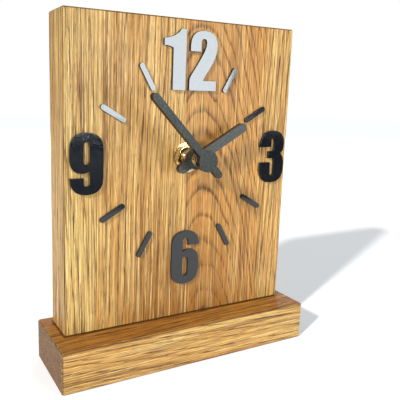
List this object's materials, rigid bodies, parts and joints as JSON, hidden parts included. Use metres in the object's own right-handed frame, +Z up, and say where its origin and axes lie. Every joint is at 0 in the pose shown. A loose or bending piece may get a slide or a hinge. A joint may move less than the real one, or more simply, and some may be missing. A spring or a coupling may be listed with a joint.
{
  "type": "mantel clock",
  "caption": "Free-standing wooden clock: upright rectangular dial panel on a plinth, raised figures and hour bars, round-ended bar hands and a battery movement in its back.",
  "frame": {"origin": "middle of the plinth's underside, on the surface the clock stands on", "axes": "+X to the right seen from the front, +Y towards the back, +Z up; the dial faces -Y"},
  "size_m": [0.137, 0.0446, 0.167],
  "materials": {
    "oak": "clear satin lacquer over straight to cathedral grain",
    "gloss_black": "polished acrylic",
    "hand_black": "satin acrylic with cut edges",
    "brass": "bright turned",
    "steel": "plated",
    "copper": "enamelled copper winding",
    "rubber": "matt",
    "black_plastic": "fine moulded grain",
    "white_plastic": "moulded acetal",
    "board": "soldermask",
    "cell_jacket": "printed film jacket"
  },
  "bodies": {
    "clock": {"plinth": "oak", "dial_panel": "oak", "plinth_screw_left": "steel", "plinth_screw_right": "steel", "numeral_1": "gloss_black", "numeral_2": "gloss_black", "numeral_3": "gloss_black", "numeral_6": "gloss_black", "numeral_9": "gloss_black", "hour_mark_01": "gloss_black", "hour_mark_02": "gloss_black", "hour_mark_04": "gloss_black", "hour_mark_05": "gloss_black", "hour_mark_07": "gloss_black", "hour_mark_08": "gloss_black", "hour_mark_10": "gloss_black", "hour_mark_11": "gloss_black", "dial_washer": "brass", "hex_nut": "brass", "cushion_gasket": "rubber", "threaded_bushing": "brass", "case_front": "black_plastic", "case_rear": "black_plastic", "middle_plate": "white_plastic", "stator": "steel", "coil": "copper", "circuit_board": "board", "crystal_can": "steel", "battery_cell": "cell_jacket", "contact_positive": "steel", "contact_negative": "steel"},
    "minute": {"minute_arbor": "steel", "minute_hand": "hand_black", "minute_hand_collet": "brass"},
    "hour": {"hour_wheel": "brass", "hour_hand": "hand_black", "hour_hand_collet": "brass"},
    "motion": {"motion_wheel": "white_plastic"},
    "setting": {"setting_knob": "black_plastic"},
    "rotor": {"rotor": "steel"},
    "step": {"step_wheel": "white_plastic"},
    "seconds": {"seconds_wheel": "white_plastic"},
    "third": {"third_wheel": "white_plastic"},
    "centre": {"centre_wheel": "white_plastic"}
  },
  "joints": [
    {"name": "minute_turn", "type": "hinge", "parent": "clock", "child": "minute", "pos_m": [0, 0, 0.102], "axis": [0, 1, 0], "continuous": true},
    {"name": "hour_turn", "type": "hinge", "parent": "clock", "child": "hour", "pos_m": [0, 0, 0.102], "axis": [0, 1, 0], "continuous": true},
    {"name": "motion_turn", "type": "hinge", "parent": "clock", "child": "motion", "pos_m": [-0.00831, 0, 0.1068], "axis": [0, 1, 0], "continuous": true},
    {"name": "setting_turn", "type": "hinge", "parent": "clock", "child": "setting", "pos_m": [-0.0118, 0, 0.11638], "axis": [0, 1, 0], "continuous": true},
    {"name": "rotor_turn", "type": "hinge", "parent": "clock", "child": "rotor", "pos_m": [-0.00054, 0, 0.11712], "axis": [0, 1, 0], "continuous": true},
    {"name": "step_turn", "type": "hinge", "parent": "clock", "child": "step", "pos_m": [-0.00414, 0, 0.11088], "axis": [0, 1, 0], "continuous": true},
    {"name": "seconds_turn", "type": "hinge", "parent": "clock", "child": "seconds", "pos_m": [0, 0, 0.102], "axis": [0, 1, 0], "continuous": true},
    {"name": "third_turn", "type": "hinge", "parent": "clock", "child": "third", "pos_m": [0.01076, 0, 0.10294], "axis": [0, 1, 0], "continuous": true},
    {"name": "centre_turn", "type": "hinge", "parent": "clock", "child": "centre", "pos_m": [0, 0, 0.102], "axis": [0, 1, 0], "continuous": true}
  ],
  "couplings": [
    {"joint": "hour_turn", "follows": "minute_turn", "ratio": 0.083333},
    {"joint": "motion_turn", "follows": "minute_turn", "ratio": -0.33333},
    {"joint": "setting_turn", "follows": "minute_turn", "ratio": 0.8},
    {"joint": "step_turn", "follows": "rotor_turn", "ratio": -0.2},
    {"joint": "seconds_turn", "follows": "rotor_turn", "ratio": 0.033333},
    {"joint": "third_turn", "follows": "rotor_turn", "ratio": -0.0044444},
    {"joint": "centre_turn", "follows": "rotor_turn", "ratio": 0.00055556}
  ]
}
